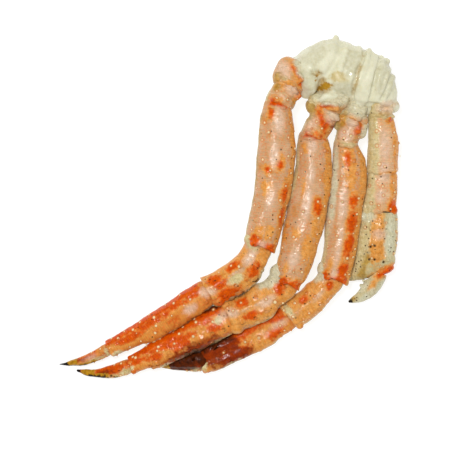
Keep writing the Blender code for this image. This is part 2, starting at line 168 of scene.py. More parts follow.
# Rounded lumps on a shell, for hinge knobs, lobes and bulging membranes: share, angle, then half
# the size round the shell, outwards and along it in mm.
LUMPS = {
    "leg_1_coxa": ((0.75, 40, 4.5, 3, 4.5), (0.5, 120, 3, 3, 7)),
    "leg_1_ischium": ((0.05, 118, 3, 3, 5), (0.25, 150, 4.5, 3, 5), (0.12, 62, 5, 2.5, 3),
        (0.9, 70, 5, 2, 3)),
    "leg_1_merus": ((0.01, 108, 3.5, 2.5, 2.5), (0.015, 60, 4, 2.2, 2.5), (0.985, 62, 5, 2.2, 3.5),
        (0.985, 132, 4, 2.0, 3.0)),
    "leg_1_carpus": ((0.0, 12, 8, 4.5, 9), (0.1, 150, 5, 2.5, 6), (0.95, 150, 4.5, 3, 5),
        (0.95, 60, 5, 2, 4)),
    "leg_1_propodus": ((0.02, 110, 5, 2.0, 4), (0.98, 60, 3, 1.6, 3), (0.985, 140, 3, 1.8, 3)),
    "leg_2_coxa": ((0.85, 6, 9, 9.0, 11), (0.3, 165, 7, 3, 8), (0.8, 92, 9, 2.5, 2.5)),
    "leg_2_ischium": ((0.14, 4, 7, 9.0, 8), (0.14, 128, 6, 3.5, 5), (0.45, 100, 2.5, 2.5, 7),
        (0.9, 112, 3, 2.5, 2.5), (0.95, 70, 5, 2, 2.5)),
    "leg_2_merus": ((0.985, 62, 5, 2.5, 3.5), (0.985, 128, 4, 2.0, 3.0), (0.01, 75, 6, 1.8, 2.5)),
    "leg_2_carpus": ((-0.08, 6, 8, 9.0, 12), (0.08, 85, 5, 2.0, 4), (0.96, 160, 5, 3.5, 5),
        (0.94, 60, 4, 2.2, 5)),
    "leg_2_propodus": ((0.02, 70, 5, 2.2, 4), (0.98, 60, 3, 1.6, 3), (0.985, 140, 3, 1.8, 3)),
    "leg_3_coxa": ((0.9, 12, 6, 4.5, 9), (0.8, 90, 8, 2.2, 2.5), (0.85, 172, 6, 4.5, 7)),
    "leg_3_ischium": ((0.1, 15, 7, 5.5, 8), (0.3, 2, 5, 6.0, 7), (0.3, 172, 6, 5.5, 10),
        (0.12, 90, 5, 3.0, 4), (0.35, 125, 4, 2.5, 6)),
    "leg_3_merus": ((0.985, 62, 4.5, 2.2, 3.5), (0.985, 128, 4.5, 2.2, 3.5),
        (0.01, 90, 7, 1.8, 2.5)),
    "leg_3_carpus": ((-0.1, 6, 7, 7.5, 10), (0.1, 95, 5, 2.2, 4), (0.95, 155, 4.5, 3, 5),
        (0.93, 50, 4, 2, 4)),
    "leg_3_propodus": ((0.02, 60, 4, 2, 4), (0.98, 60, 3, 1.5, 3), (0.985, 140, 3, 1.6, 3)),
    "claw_arm_coxa": ((0.6, 120, 8, 3.5, 5), (0.4, 60, 7, 3, 6), (0.9, 150, 5, 3, 4)),
    "claw_arm_merus": ((0.98, 70, 6, 1.8, 3), (0.03, 120, 5, 2, 3), (0.985, 140, 4, 2, 3)),
    "claw_arm_carpus": ((0.95, 5, 4, 3.5, 6), (0.97, 70, 6, 1.8, 3), (0.96, 150, 5, 3.0, 6),
        (0.03, 100, 6, 1.8, 3)),
}
LUMP_SINK = 2.0             # mm from the surface down to a lump's middle
UPPER_SIDE = (-0.5, 0.2)    # how far up a surface faces where folds seen from above fade in
SPINE_LEAN = 26             # degrees towards the claw
SPINE_SIDES = 10
SPINE_SIZE = (2.1 * MM, 4.6 * MM)   # radius of the root, height
SPINE_STEPS = ((0.45, 0.62), (0.33, 0.55), (0.22, 0.45))    # share of the height, narrowing
SPINE_STRAY = (0.04, 13)    # how far one strays: a share of the length, and degrees round it
SPINE_ENDS = (0.03, 0.965)  # shares of the length between which spines stand
SPINE_SCALES = (0.35, 1.0)
SPINE_SEED = 7
TUBERCLE_LEAN = 0.4         # how much a tubercle turns upright
TIP_PLACE = 0.6             # share of a spine's height at which its pale tip is centred
TIP_REACH = 3.2 * MM
# Unevenness of each surface, from broad to fine: (grain, depth) in mm.
LIMB_GRAINS = ((30, 2.2), (11, 1.2), (4, 0.5))
ROOT_GRAINS = ((30, 2.2), (11, 2.0), (4, 0.5))
CLAW_GRAINS = ((25, 2.0), (9, 1.0), (4, 0.4))
FLESH_SWELL = (24, 4.0)
FLESH_GRAINS = ((10, 0.9), (4, 0.25))


# ---- small helpers -------------------------------------------------------------------------------
def only(*things):
    """Selects these objects and nothing else, with the first one active."""
    bpy.ops.object.select_all(action="DESELECT")
    for thing in things:
        thing.select_set(True)
    bpy.context.view_layer.objects.active = things[0]


def edit(thing):
    only(thing)
    bpy.ops.object.mode_set(mode="EDIT")
    bpy.ops.mesh.select_all(action="SELECT")


def leave_edit():
    bpy.ops.object.mode_set(mode="OBJECT")


def choose(thing, wanted_vertex, wanted_face):
    """Leaves edit mode and selects these points and faces, and no edges."""
    leave_edit()
    mesh = thing.data
    mesh.vertices.foreach_set("select", [wanted_vertex(vertex) for vertex in mesh.vertices])
    mesh.edges.foreach_set("select", [False] * len(mesh.edges))
    mesh.polygons.foreach_set("select", [wanted_face(face) for face in mesh.polygons])


def finish_with(thing, kind, **settings):
    """Adds a modifier with its settings and applies it."""
    modifier = thing.modifiers.new(kind.title(), kind)
    for name, value in settings.items():
        setattr(modifier, name, value)
    only(thing)
    bpy.ops.object.modifier_apply(modifier=modifier.name)


def points_of(thing):
    points = np.empty(len(thing.data.vertices) * 3)
    thing.data.vertices.foreach_get("co", points)
    return points.reshape(-1, 3)


def move_points(thing, points):
    thing.data.vertices.foreach_set("co", points.ravel())
    thing.data.update()


def facings_of(thing):
    facings = np.empty(len(thing.data.vertices) * 3)
    thing.data.vertices.foreach_get("normal", facings)
    return facings.reshape(-1, 3)


def write_mask(thing, name, values):
    mask = thing.data.attributes.new(name, "FLOAT", "POINT")
    mask.data.foreach_set("value", np.asarray(values, np.float32))


def read_mask(thing, name):
    values = np.empty(len(thing.data.vertices), np.float32)
    thing.data.attributes[name].data.foreach_get("value", values)
    return values.astype(float)


def smooth_step(low, high, values):
    t = np.clip((values - low) / (high - low), 0, 1)
    return t * t * (3 - 2 * t)


# ---- reading the solids --------------------------------------------------------------------------
def flat_ends(node):
    """The two broadest flat faces of a shell's solid, where its joints are: (middle, facing)."""
    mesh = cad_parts[node].data
    mesh.calc_loop_triangles()
    corners = np.array([[mesh.vertices[i].co for i in tri.vertices] for tri in mesh.loop_triangles])
    cross = np.cross(corners[:, 1] - corners[:, 0], corners[:, 2] - corners[:, 0])
    doubled = np.maximum(np.linalg.norm(cross, axis=1), 1e-12)
    facing = cross / doubled[:, None]
    middle = corners.mean(1)
    reach = (facing * middle).sum(1)
    whole = doubled @ middle / doubled.sum()
    level = abs(facing @ middle.T - reach[:, None]) < SAME_LEVEL
    level &= facing @ facing.T > SAME_WAY
    free = np.ones(len(doubled))
    flats = []
    for _ in range(FLATS_TRIED):
        broadest = int(np.argmax((level @ (doubled * free)) * free))
        group = level[broadest] & (free > 0)
        weight = doubled[group] / doubled[group].sum()
        centre = weight @ middle[group]
        spread = np.linalg.svd(corners[group].reshape(-1, 3) - centre, compute_uv=False)
        depth = (centre - whole) @ facing[broadest]
        score = doubled[group].sum() * depth * spread[1] / spread[0]
        flats.append((score, Vector(centre), Vector(facing[broadest])))
        free[group] = 0
    flats.sort(key=lambda flat: -flat[0])
    return [(centre, way) for _, centre, way in flats[:2]]


class Run:
    """One shell's solid, read in an upright frame: x to the limb's outer side, y up, z along it."""

    def __init__(self, node, kind, hinge):
        self.node = node
        self.kind = kind
        ends = flat_ends(node)
        points = points_of(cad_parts[node])
        if kind == "coxa":
            far, facing = ends[0]
            depth = max(-(Vector(point) - far).dot(facing) for point in points)
            near, near_facing = far - facing * depth, -facing
        elif kind == "dactylus":
            near, near_facing = ends[0]
            far = Vector(max(points, key=lambda point: (Vector(point) - near).length))
            facing = (far - near).normalized()
        else:
            ends.sort(key=lambda end: (end[0] - hinge).length)
            (near, near_facing), (far, facing) = ends
        self.near = near
        self.far = far
        self.length = (far - near).length
        along = (far - near).normalized()
        outer = UP.cross(along).normalized()
        upward = along.cross(outer)
        self.stand = Matrix((outer, upward, along)).transposed().to_4x4()
        self.stand.translation = near
        turn = self.stand.to_3x3().inverted()
        start = turn @ -near_facing
        end = turn @ facing
        self.slopes = (-start.x / start.z, -end.x / end.z)
        local = [self.stand.inverted() @ vertex.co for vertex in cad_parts[node].data.vertices]
        faces = [tuple(face.vertices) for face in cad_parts[node].data.polygons]
        self.tree = BVHTree.FromPolygons(local, faces)
        inner = self.hit((-REACH, 0, self.length / 2), (1, 0, 0))
        outer = self.hit((REACH, 0, self.length / 2), (-1, 0, 0))
        self.bow = 0.0 if kind == "coxa" else (inner.x + outer.x) / 2
        self.radius = sum(self.half_sizes(self.length / 2)) / 2

    def hit(self, start, way):
        return self.tree.ray_cast(Vector(start), Vector(way))[0]

    def middle(self, z):
        share = z / self.length
        return self.bow * 4 * share * (1 - share)

    def centre(self, z):
        """The middle of a ring at z, which may be a little past the shell's ends."""
        return Vector((self.middle(min(max(z, 0), self.length)), 0, z))

    def half_sizes(self, z):
        """Half the width and half the thickness of the solid at z, kept off its slanted ends."""
        margin = LONG_MARGIN if self.length > SHORT_SHELL else SHORT_MARGIN
        low = min(margin, self.length / 2)
        if self.kind == "coxa":
            low = self.length - margin
        if self.kind == "dactylus":
            margin = POINT_MARGIN
        z = min(max(z, low), self.length - margin)
        inner = self.hit((-REACH, 0, z), (1, 0, 0))
        below = self.hit((self.middle(z), -REACH, z), (0, 1, 0))
        return max(self.middle(z) - inner.x, LEAST_HALF), max(-below.y, LEAST_HALF)

    def tilt(self, z):
        """The slope of a ring at z: the joint planes' at the ends, and none in between."""
        near = self.slopes[0] * max(0.0, 1 - max(z, 0) / END_FADE)
        far = self.slopes[1] * max(0.0, 1 - max(self.length - z, 0) / END_FADE)
        return near + far

    def surface(self, share, angle):
        """A point of the surface and the way it faces, in the upright frame."""
        z = share * self.length
        half_width, half_thick = self.half_sizes(z)
        across, rise = -math.cos(math.radians(angle)), math.sin(math.radians(angle))
        point = Vector((self.middle(z) + across * half_width, rise * half_thick, z))
        facing = Vector((across / half_width, rise / half_thick, 0)).normalized()
        return point, facing


# ---- colour zones --------------------------------------------------------------------------------
MASKS = ("orange", "ember", "deep", "dusk", "cream", "pale", "bloom", "stain", "yellow", "horn",
         "pit")
EDGE_SOFT = 8.0             # mm over which a colour zone fades at its edge
EMBER_RING = 3.0            # mm of orange round an ember patch
ALL_ROUND = 100.0           # mm from the edge of a band that goes all round

# Bands along each kind of shell, by zone: first angle, last angle, first share, last share.
BANDS = {
    "coxa": {"cream": [(200, 340, -1, 2)]},
    "ischium": {"cream": [(190, 385, -1, 2)], "ember": [(45, 150, 0.94, 2)]},
    "merus": {"cream": [(208, 372, -1, 2)], "orange": [(140, 214, -1, 2)],
        "ember": [(45, 150, -1, 0.012), (50, 150, 0.975, 2)]},
    "carpus": {"cream": [(168, 345, -1, 2)], "orange": [(345, 440, 0.15, 2), (100, 168, -1, 2)]},
    "propodus": {"cream": [(172, 330, -1, 2)], "ember": [(330, 418, 0.04, 2)]},
    "dactylus": {"cream": [(150, 260, -1, 0.7)], "yellow": [(0, 360, 0.64, 0.92)],
        "horn": [(0, 360, 0.9, 2)]},
}
ARM_BANDS = {
    "coxa": {"cream": [(0, 360, -1, 2)]},
    "merus": {"cream": [(190, 428, -1, 2)], "orange": [(130, 200, -1, 2), (70, 150, 0.97, 2)]},
    "carpus": {"cream": [(190, 415, -1, 2)], "orange": [(120, 200, -1, 2), (60, 150, -1, 0.03)]},
}
# Patches, by zone: share along the shell, angle round it, half length and half width in mm.
# Pale pink patches on the crowns are partly painted highlight; dark patches along touching edges are
# painted shade.
PATCHES = {
    "leg_1_coxa": {"orange": [(0.25, 105, 4, 3), (0.95, 75, 3, 9)], "ember": [(0.55, 135, 6, 3.5)],
        "stain": [(0.75, 38, 4, 6)], "pale": [(0.4, 165, 9, 5)]},
    "leg_1_ischium": {"bloom": [(0.0, 128, 6, 4)], "orange": [(0.1, 70, 4, 10), (0.9, 75, 4, 8)],
        "ember": [(0.1, 152, 5, 4)], "stain": [(0.3, 45, 5, 4)]},
    "leg_1_merus": {"ember": [(0.06, 58, 5, 4), (0.42, 106, 4, 4), (0.46, 62, 3, 3),
        (0.62, 138, 9, 4), (0.78, 146, 10, 3), (0.97, 62, 6, 7)], "bloom": [(0.11, 92, 14, 7),
        (0.66, 88, 13, 4.5), (0.985, 96, 3, 4), (0.35, 82, 12, 5)], "orange": [(0.58, 60, 6, 5),
        (0.4, 104, 9, 6), (0.9, 112, 8, 6), (0.6, 74, 9, 6), (0.91, 72, 9, 7)],
        # painted shade: the yellow-brown band down the inner edge stands for that side's shading
        "stain": [(0.45, 8, 60, 3.5)]},
    "leg_1_carpus": {"bloom": [(0.2, 82, 8, 6), (0.96, 100, 5, 4)], "cream": [(0.56, 106, 9, 4.5),
        (0.04, 40, 6, 12)], "ember": [(0.48, 50, 8, 4), (0.78, 95, 9, 4), (0.27, 132, 9, 5),
        # painted shade: the dark red and dark brown along the outer edge, in the crease against leg 2
        (0.82, 60, 7, 6), (0.8, 140, 14, 7)], "deep": [(0.8, 178, 10, 2)],
        "dusk": [(0.7, 184, 16, 3)], "orange": [(0.35, 140, 20, 7)]},
    "leg_1_propodus": {"bloom": [(0.0, 88, 7, 6), (0.2, 118, 7, 4)], "ember": [(0.13, 66, 10, 5),
        (0.55, 64, 22, 5), (0.3, 56, 12, 4), (0.78, 84, 16, 6)], "cream": [(0.95, 145, 6, 4)],
        # painted shade along the outer edge, in the crease against leg 2
        "deep": [(0.25, 176, 18, 2.5)], "dusk": [(0.2, 184, 16, 4)]},
    "leg_1_dactylus": {"bloom": [(0.36, 72, 4, 1.5)], "cream": [(0.03, 110, 2, 4),
        (0.24, 138, 10, 1.8)], "yellow": [(0.45, 150, 12, 1.5)], "deep": [(0.5, 70, 9, 1.2)],
        "ember": [(0.4, 50, 12, 3)], "pit": [(0.35, 150, 1.3, 0.9), (0.5, 148, 1.3, 0.9)],
        "horn": [(0.92, 90, 6, 9), (0.72, 168, 11, 1.4)]},
    "leg_2_coxa": {"orange": [(0.82, 88, 3, 10)], "pale": [(0.2, 90, 9, 22)],
        "cream": [(0.75, 14, 9, 8)]},
    "leg_2_ischium": {"bloom": [(0.14, 122, 5, 8)], "stain": [(0.3, 16, 9, 5)],
        "orange": [(0.45, 80, 5, 8), (0.75, 62, 5, 5)], "ember": [(0.5, 118, 6, 3),
        (0.85, 108, 2, 6)]},
    "leg_2_merus": {"bloom": [(0.06, 84, 7, 7), (0.25, 86, 12, 4), (0.45, 82, 18, 5),
        (0.83, 80, 9, 6)], "orange": [(0.08, 58, 6, 4), (0.6, 128, 16, 5), (0.66, 66, 7, 5),
        (0.9, 62, 8, 5), (0.74, 12, 32, 5), (0.35, 62, 9, 3), (0.74, 122, 14, 7),
        (0.12, 150, 14, 4)], "ember": [(0.46, 122, 8, 5), (0.985, 66, 5, 7), (0.985, 125, 3, 6)],
        "cream": [(0.28, 12, 40, 5)]},
    "leg_2_carpus": {"pale": [(0.1, 2, 22, 9)], "orange": [(0.5, 120, 24, 8), (0.75, 140, 9, 4),
        (0.96, 155, 4, 4)], "ember": [(0.12, 80, 6, 8), (0.68, 118, 8, 3.5), (0.75, 48, 8, 5)],
        "bloom": [(0.4, 96, 10, 5), (0.92, 78, 5, 4.5)]},
    "leg_2_propodus": {"cream": [(0.1, 88, 5, 5), (0.985, 112, 2.5, 2.5)],
        "bloom": [(0.04, 80, 6, 4)], "ember": [(0.18, 62, 6, 4), (0.14, 112, 9, 5),
        (0.42, 90, 12, 5), (0.9, 88, 9, 5), (0.6, 75, 24, 7), (0.5, 112, 12, 6),
        # painted shade along both edges, in the creases against legs 1 and 3
        (0.75, 110, 10, 5)], "deep": [(0.42, 165, 32, 5.5), (0.22, 12, 20, 3)],
        "dusk": [(0.4, 184, 24, 4), (0.08, 2, 16, 4)]},
    "leg_2_dactylus": {"ember": [(0.35, 80, 20, 6)], "cream": [(0.12, 145, 7, 3),
        (0.27, 152, 10, 2.2)], "yellow": [(0.6, 140, 20, 2.5)], "deep": [(0.42, 90, 10, 2.2)],
        "horn": [(0.7, 166, 19, 1.8)], "pit": [(0.34, 142, 1.2, 0.9), (0.46, 140, 1.0, 1.2),
        (0.56, 136, 1.0, 1.3), (0.65, 140, 1.0, 1.3), (0.74, 134, 1.0, 1.3)]},
    "leg_3_merus": {"pale": [(0.32, 30, 46, 5.5)], "cream": [(0.8, 20, 30, 5), (0.0, 95, 2.5, 14)],
        "ember": [(0.98, 50, 5, 5), (0.1, 93, 9, 4.5), (0.42, 120, 7, 5), (0.58, 124, 12, 6),
        (0.74, 124, 14, 6), (0.93, 122, 9, 6)], "orange": [(0.16, 104, 24, 8), (0.9, 62, 8, 4)],
        "bloom": [(0.95, 84, 5, 4), (0.75, 84, 20, 3), (0.45, 80, 14, 5)]},
    "leg_3_carpus": {"pale": [(0.02, 4, 14, 9)], "orange": [(0.5, 110, 24, 8), (0.9, 150, 7, 5)],
        "ember": [(0.1, 95, 5, 6), (0.6, 50, 4, 3)], "cream": [(0.93, 56, 4, 7)],
        "bloom": [(0.35, 88, 6, 3)]},
    "leg_3_propodus": {"ember": [(0.1, 50, 8, 6), (0.18, 124, 10, 5), (0.7, 60, 24, 6),
        (0.66, 125, 20, 6)], "bloom": [(0.12, 94, 9, 4)], "cream": [(0.985, 100, 4, 8)],
        # painted shade where leg 2 shades this propodus, and in the crease between them
        "deep": [(0.78, 20, 22, 7), (0.78, 75, 24, 15), (0.66, 150, 20, 9)],
        "orange": [(0.35, 100, 22, 13)], "dusk": [(0.72, 8, 26, 5)]},
    # painted shade: this dactylus lies in leg 2's shadow
    "leg_3_dactylus": {"deep": [(0.3, 90, 24, 14)], "dusk": [(0.5, 60, 24, 9), (0.1, 20, 16, 6)],
        "cream": [(0.16, 150, 6, 2.5)], "ember": [(0.22, 100, 4, 2.5)]},
    "leg_3_coxa": {"pale": [(0.3, 90, 9, 20)], "orange": [(0.85, 70, 3, 6)],
        "cream": [(0.9, 20, 6, 5)]},
    "leg_3_ischium": {"bloom": [(0.15, 92, 6, 6), (0.62, 76, 7, 9)], "orange": [(0.1, 50, 5, 5)],
        "ember": [(0.3, 120, 6, 3)], "stain": [(0.1, 15, 9, 5)], "pale": [(0.3, 170, 12, 6)],
        "cream": [(0.98, 95, 2.5, 14)]},
    "claw_arm_coxa": {"bloom": [(0.5, 100, 6, 8)], "ember": [(0.85, 110, 2.5, 4)]},
    "claw_arm_merus": {"ember": [(0.03, 135, 2.5, 3)], "bloom": [(0.5, 92, 16, 6),
        (0.9, 90, 6, 6)]},
    "claw_arm_carpus": {"bloom": [(0.12, 92, 5, 7), (0.6, 80, 7, 6)], "ember": [(0.85, 140, 7, 5)]},
}
# Spots seen from above, by zone: x, y, half length and half width in mm, turn from the x axis.
SPOTS = {
    "leg_1_coxa": {"pale": [(82, 140, 16, 8, -58), (74, 151, 6, 5, 0)],
        "ember": [(75, 138, 10, 2, -58), (67.5, 147, 3, 2, 0)], "bloom": [(57, 144, 8, 9, 0)],
        "stain": [(51, 133, 4, 3, 0)], "cream": [(58, 136, 3, 3, 0)]},
    "leg_1_ischium": {"orange": [(57, 129, 7, 3.5, 0)], "bloom": [(66, 124, 7, 5, -40)],
        "ember": [(77, 117, 6, 3, -70)], "stain": [(73, 110, 6, 2.5, 10)]},
    "leg_2_coxa": {"cream": [(82, 106, 13, 6, 60)], "stain": [(76, 99, 8, 3.5, 70)],
        "pale": [(106, 116, 16, 9, 0)], "ember": [(102, 107, 11, 3, 14)],
        "orange": [(103, 103, 10, 3, 10)], "deep": [(85, 111, 9, 1.0, 51)]},
    "leg_2_ischium": {"stain": [(76, 98, 8, 3.5, 60)], "cream": [(84, 96, 7, 4, 60),
        (110, 98, 8, 4, -30)], "bloom": [(108, 94, 7, 5, -30), (87, 87, 8, 5, 60)],
        "ember": [(98, 92, 11, 2.5, -75)], "orange": [(112, 96, 7, 2.5, -35)],
        "deep": [(111, 85, 3.5, 3, 0)]},
    "leg_3_coxa": {"stain": [(121, 97, 8, 1.5, 70), (119, 90, 4, 2, 70)],
        "orange": [(136, 99, 7, 2.5, 0)]},
    "leg_3_ischium": {"stain": [(120, 91, 7, 2, 65)], "orange": [(136, 92, 8, 3, -10)],
        "bloom": [(134, 96, 7, 3, 0)], "ember": [(139, 85, 8, 2.5, -70)],
        # painted shade: the dark brown spot
        "dusk": [(107.5, 87, 4.5, 3.5, 0)], "pale": [(126, 92, 3, 2.5, 0)]},
    "claw_arm_coxa": {"bloom": [(168, 104, 9, 4, 10)], "ember": [(170, 100, 7, 2.5, 5)],
        "stain": [(162, 98, 6, 2.5, 0)], "deep": [(167, 99.5, 5, 0.9, 5)]},
}


class Skin:
    """A finished piece's points, and the colour zones painted on them."""

    def __init__(self, piece, run=None):
        self.piece = piece
        self.plan = points_of(piece)[:, :2] / MM
        self.zones = {name: np.zeros(len(self.plan)) for name in MASKS}
        if run:
            self.share = read_mask(piece, "share")
            self.angle = read_mask(piece, "angle")
            self.length = run.length / MM
            self.radius = run.radius / MM

    def turn_from(self, angle):
        """Distance round the shell from that angle, in mm."""
        return abs((self.angle - angle + 180) % 360 - 180) * math.pi / 180 * self.radius

    def raise_zone(self, zone, inside):
        """Adds an area to a zone: one half at its edge, more inside, less outside."""
        self.zones[zone] = np.maximum(self.zones[zone], np.clip(0.5 + inside / EDGE_SOFT, 0, 1))

    def band(self, zone, first, last, near, far):
        half_turn = (last - first) / 2 * math.pi / 180 * self.radius
        inside = half_turn - self.turn_from((first + last) / 2)
        if last - first >= 360:
            inside = np.full(len(self.share), ALL_ROUND)
        ends = np.minimum(self.share - near, far - self.share) * self.length
        self.raise_zone(zone, np.minimum(inside, ends))

    def spread(self, zone, far, half_size):
        """Adds an oval whose edge is where far is 1. Ember fades out through a ring of orange."""
        self.raise_zone(zone, (1 - far) * half_size)
        if zone == "ember":
            self.raise_zone("orange", (1 - far) * half_size + EMBER_RING)

    def patch(self, zone, share, angle, half_length, half_width):
        """An oval at a share of the length and an angle round the shell."""
        along = (self.share - share) * self.length / half_length
        across = self.turn_from(angle) / half_width
        self.spread(zone, np.hypot(along, across), min(half_length, half_width))

    def spot(self, zone, x, y, half_long, half_wide, turn):
        """An oval seen from above, at x and y in mm, its length turned from the x axis."""
        cos, sin = math.cos(math.radians(turn)), math.sin(math.radians(turn))
        gap = self.plan - (x, y)
        along = gap @ (cos, sin) / half_long
        across = gap @ (-sin, cos) / half_wide
        self.spread(zone, np.hypot(along, across), min(half_long, half_wide))

    def paint(self, shape_of, areas):
        """Paints each zone's shapes, which are bands, patches or spots."""
        for zone, shapes in areas.items():
            for shape in shapes:
                shape_of(zone, *shape)

    def finish(self):
        for name, values in self.zones.items():
            write_mask(self.piece, name, values)


def paint_limb(node, kind, shell, run):
    skin = Skin(shell, run)
    bands = ARM_BANDS if node.startswith("claw_arm") else BANDS
    skin.paint(skin.band, bands[kind])
    skin.paint(skin.patch, PATCHES.get(node, {}))
    skin.paint(skin.spot, SPOTS.get(node, {}))
    skin.finish()


# ---- materials -----------------------------------------------------------------------------------
def linear(colour):
    """An sRGB hex colour as linear values."""
    parts = [int(colour[i:i + 2], 16) / 255 for i in (1, 3, 5)]
    return (*(v / 12.92 if v <= 0.04045 else ((v + 0.055) / 1.055) ** 2.4 for v in parts), 1.0)


def fill_in(node, inputs):
    """Fills a node's inputs with values or links."""
    for name, value in inputs.items():
        if isinstance(value, bpy.types.NodeSocket):
            node.id_data.links.new(value, node.inputs[name])
        else:
            node.inputs[name].default_value = value


def add(tree, kind, inputs, **settings):
    """Adds a node with its settings, and fills its inputs with values or links."""
    node = tree.nodes.new("ShaderNode" + kind)
    for name, value in settings.items():
        setattr(node, name, value)
    fill_in(node, inputs)
    return node


MIX_FACTOR, MIX_A, MIX_B, MIX_RESULT = 0, 6, 7, 2
GRAINS = (12.0, 4.0, 2.2, 1.1)      # mm across a blotch, a patch, a speck and a grain
WRINKLES = {"along": 1.3, "around": 8.0}    # mm between fine wrinkles, and along each
ZONE_RAGGED = 0.8           # how far noise shifts a zone's edge
PIGMENTED = 0.7             # most that the ground's third tone covers
DOT_SPACING, DOT_RADIUS = 5.0, 1.0  # mm
FLECK, SPINE_ROOT, SPINE_TIP, PORE = "#c4602a", "#cc6a28", "#ead6a2", "#4a3014"
ROUGHNESS = (0.18, 0.36)
BUMP_DEPTH = 0.4 * MM
COAT_BUMP = 0.4             # share of the relief that the water on it follows
WET = {
    "IOR": 1.45, "Specular IOR Level": 0.08, "Coat Weight": 0.36, "Coat Roughness": 0.08,
    "Subsurface Weight": 0.03, "Subsurface Radius": (1.0, 0.55, 0.3), "Subsurface Scale": 2.0 * MM,
}


def new_material(name):
    material = bpy.data.materials.new(name)
    material.use_nodes = True
    tree = material.node_tree
    return material, tree, tree.nodes["Principled BSDF"]


def skin_patterns(tree):
    """What the finishes are drawn with: a point's place, clouds of four sizes, fine wrinkles that
    follow the shell, and a ragged mix of them that frays the edges of colours."""
    place = add(tree, "TexCoord", {}).outputs["Object"]
    clouds = []
    for size in GRAINS:
        noise = add(tree, "TexNoise", {"Vector": place, "Scale": 1 / (size * MM), "Detail": 2.0,
                                       "Roughness": 0.6}).outputs["Fac"]
        cloud = add(tree, "MapRange", {"Value": noise, "From Min": 0.3, "From Max": 0.7})
        clouds.append(cloud.outputs[0])
    blotch, patch, speck, grain = clouds
    ways = []
    for way, size in WRINKLES.items():
        distance = add(tree, "Attribute", {}, attribute_name=way).outputs["Fac"]
        ways.append(add(tree, "Math", {0: distance, 1: 1 / size}, operation="MULTIPLY").outputs[0])
    sheet = add(tree, "CombineXYZ", {"X": ways[0], "Y": ways[1]}).outputs[0]
    wrinkle = add(tree, "TexNoise", {"Vector": sheet, "Scale": 1.0, "Detail": 2.0}).outputs["Fac"]
    wrinkle = add(tree, "MapRange", {"Value": wrinkle, "From Min": 0.35,
                                     "From Max": 0.65}).outputs[0]
    ragged = add(tree, "Math", {0: blotch, 1: 0.5}, operation="MULTIPLY").outputs[0]
    ragged = add(tree, "Math", {0: patch, 1: 0.3, 2: ragged}, operation="MULTIPLY_ADD").outputs[0]
    ragged = add(tree, "Math", {0: speck, 1: 0.2, 2: ragged}, operation="MULTIPLY_ADD").outputs[0]
    return SimpleNamespace(place=place, blotch=blotch, patch=patch, speck=speck, grain=grain,
                           wrinkle=wrinkle, ragged=ragged)


def ground_colour(tree, patterns, ground, flecked):
    """Pale chitin in two tones, with thick pigment over it in blotches, and orange flecks."""
    colour = add(tree, "Mix", {MIX_FACTOR: patterns.blotch, MIX_A: linear(ground[0]),
                               MIX_B: linear(ground[1])}, data_type="RGBA").outputs[MIX_RESULT]
    pigment = add(tree, "MapRange", {"Value": patterns.ragged, "From Min": 0.5, "From Max": 0.85,
                                     "To Max": PIGMENTED},
                  interpolation_type="SMOOTHSTEP").outputs[0]
    fleck = add(tree, "Math", {0: patterns.grain, 1: 0.6, 2: patterns.speck},
                operation="MULTIPLY_ADD").outputs[0]
    fleck = add(tree, "MapRange", {"Value": fleck, "From Min": 0.8, "From Max": 1.2,
                                   "To Max": flecked}, interpolation_type="SMOOTHSTEP").outputs[0]
    for cover, tone in ((pigment, ground[2]), (fleck, FLECK)):
        colour = add(tree, "Mix", {MIX_FACTOR: cover, MIX_A: colour, MIX_B: linear(tone)},
                     data_type="RGBA").outputs[MIX_RESULT]
    return colour


def zone_colours(tree, patterns, colour):
    """Lays the tones of each painted zone over the colour, with frayed edges."""
    middle = 0.5 + ZONE_RAGGED / 2
    for zone, (light, dark, most, fade) in TONES.items():
        mask = add(tree, "Attribute", {}, attribute_name=zone).outputs["Fac"]
        edge = add(tree, "Math", {0: patterns.ragged, 1: ZONE_RAGGED, 2: mask},
                   operation="MULTIPLY_ADD").outputs[0]
        reach = add(tree, "MapRange", {"Value": mask, "From Max": 0.3, "To Max": most}).outputs[0]
        amount = add(tree, "MapRange", {"Value": edge, "From Min": middle - fade,
                                        "From Max": middle + fade, "To Max": reach},
                     interpolation_type="SMOOTHSTEP").outputs[0]
        tone = add(tree, "Mix", {MIX_FACTOR: patterns.patch, MIX_A: linear(light),
                                 MIX_B: linear(dark)}, data_type="RGBA").outputs[MIX_RESULT]
        colour = add(tree, "Mix", {MIX_FACTOR: amount, MIX_A: colour, MIX_B: tone},
                     data_type="RGBA").outputs[MIX_RESULT]
    return colour


def mottled_colour(tree, patterns, colour, mottled):
    """Makes the colour lighter and darker by the fine patterns."""
    mottle = patterns.speck
    for pattern, share in ((patterns.wrinkle, 0.8), (patterns.grain, 0.6)):
        mottle = add(tree, "Math", {0: pattern, 1: share, 2: mottle},
                     operation="MULTIPLY_ADD").outputs[0]
    mottle = add(tree, "MapRange", {"Value": mottle, "From Max": 2.4, "To Min": 1 - mottled,
                                    "To Max": 1 + mottled}).outputs[0]
    return add(tree, "Mix", {MIX_FACTOR: 1.0, MIX_A: colour, MIX_B: mottle}, data_type="RGBA",
               blend_type="MULTIPLY").outputs[MIX_RESULT]


